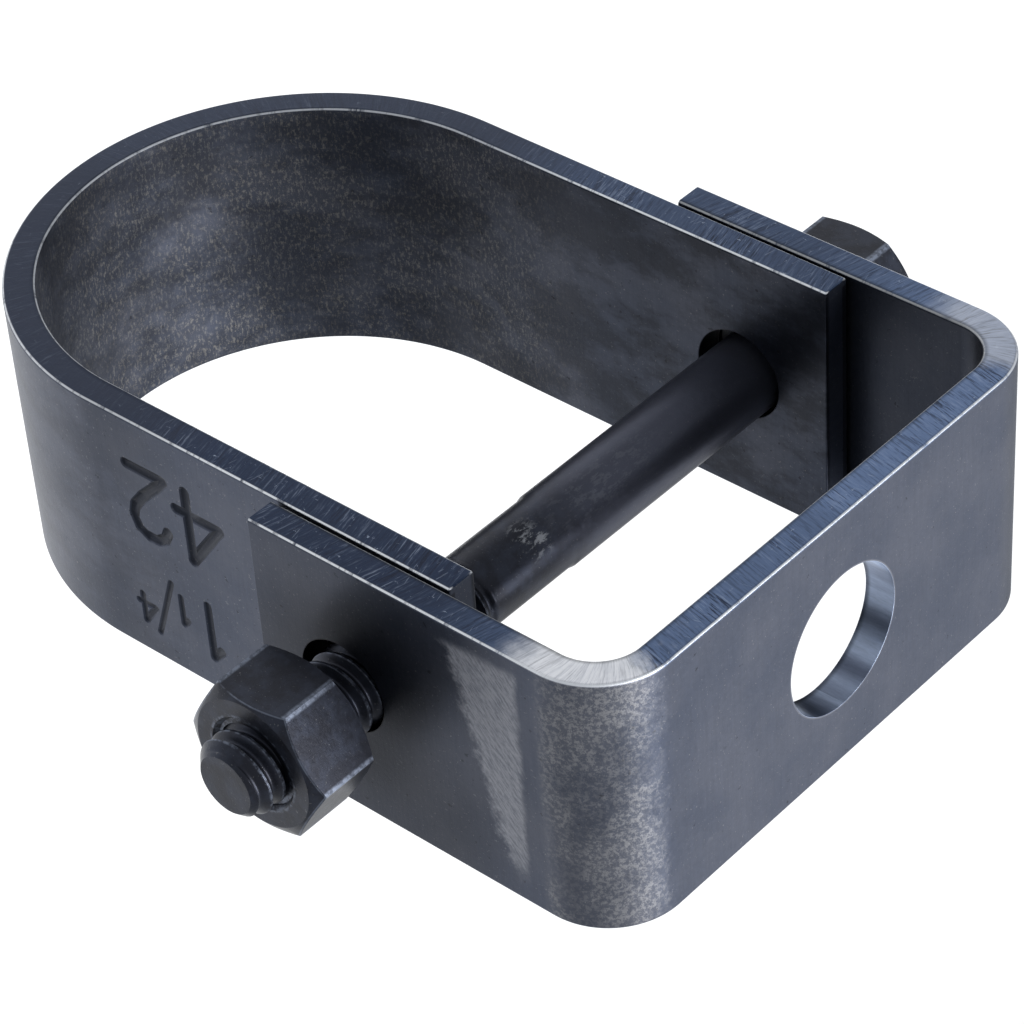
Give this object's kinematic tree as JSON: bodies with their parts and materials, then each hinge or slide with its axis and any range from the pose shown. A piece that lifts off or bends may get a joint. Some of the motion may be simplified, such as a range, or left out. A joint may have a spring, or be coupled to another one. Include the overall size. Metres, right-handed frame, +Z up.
{
  "type": "clevis pipe hanger",
  "caption": "Steel clevis pipe hanger: a square upper yoke with a rod hole and a round-bottomed lower strap joined by a hex cross bolt and nut.",
  "frame": {"origin": "centre of the rod hole at the yoke's top face", "axes": "+Z up the hanger rod; +Y along the cross bolt, from its head to its nut; +X along the pipe, across the strip"},
  "size_m": [0.0254, 0.0808, 0.0828],
  "materials": {
    "strip_steel": "dark oiled mill scale, worn grey at the bends",
    "bolt_steel": "black oxide, oiled"
  },
  "bodies": {
    "yoke": {"upper_yoke": "strip_steel"},
    "strap": {"lower_strap": "strip_steel"},
    "bolt": {"cross_bolt": "bolt_steel"},
    "nut": {"hex_nut": "bolt_steel"}
  },
  "joints": [
    {"name": "strap_swing", "type": "hinge", "parent": "yoke", "child": "strap", "pos_m": [-0.00065, 0, -0.0279], "axis": [0, 1, 0], "range_deg": [-115, 115]},
    {"name": "bolt_turn", "type": "hinge", "parent": "yoke", "child": "bolt", "pos_m": [-0.00065, 0, -0.0279], "axis": [0, 1, 0], "range_deg": [-2500, 892]},
    {"name": "nut_travel", "type": "slide", "parent": "yoke", "child": "nut", "axis": [0, 1, 0], "range_m": [-0.0035, 0.0098]}
  ],
  "couplings": [
    {"joint": "nut_travel", "follows": "bolt_turn", "m_per_rad": -0.00022459}
  ]
}
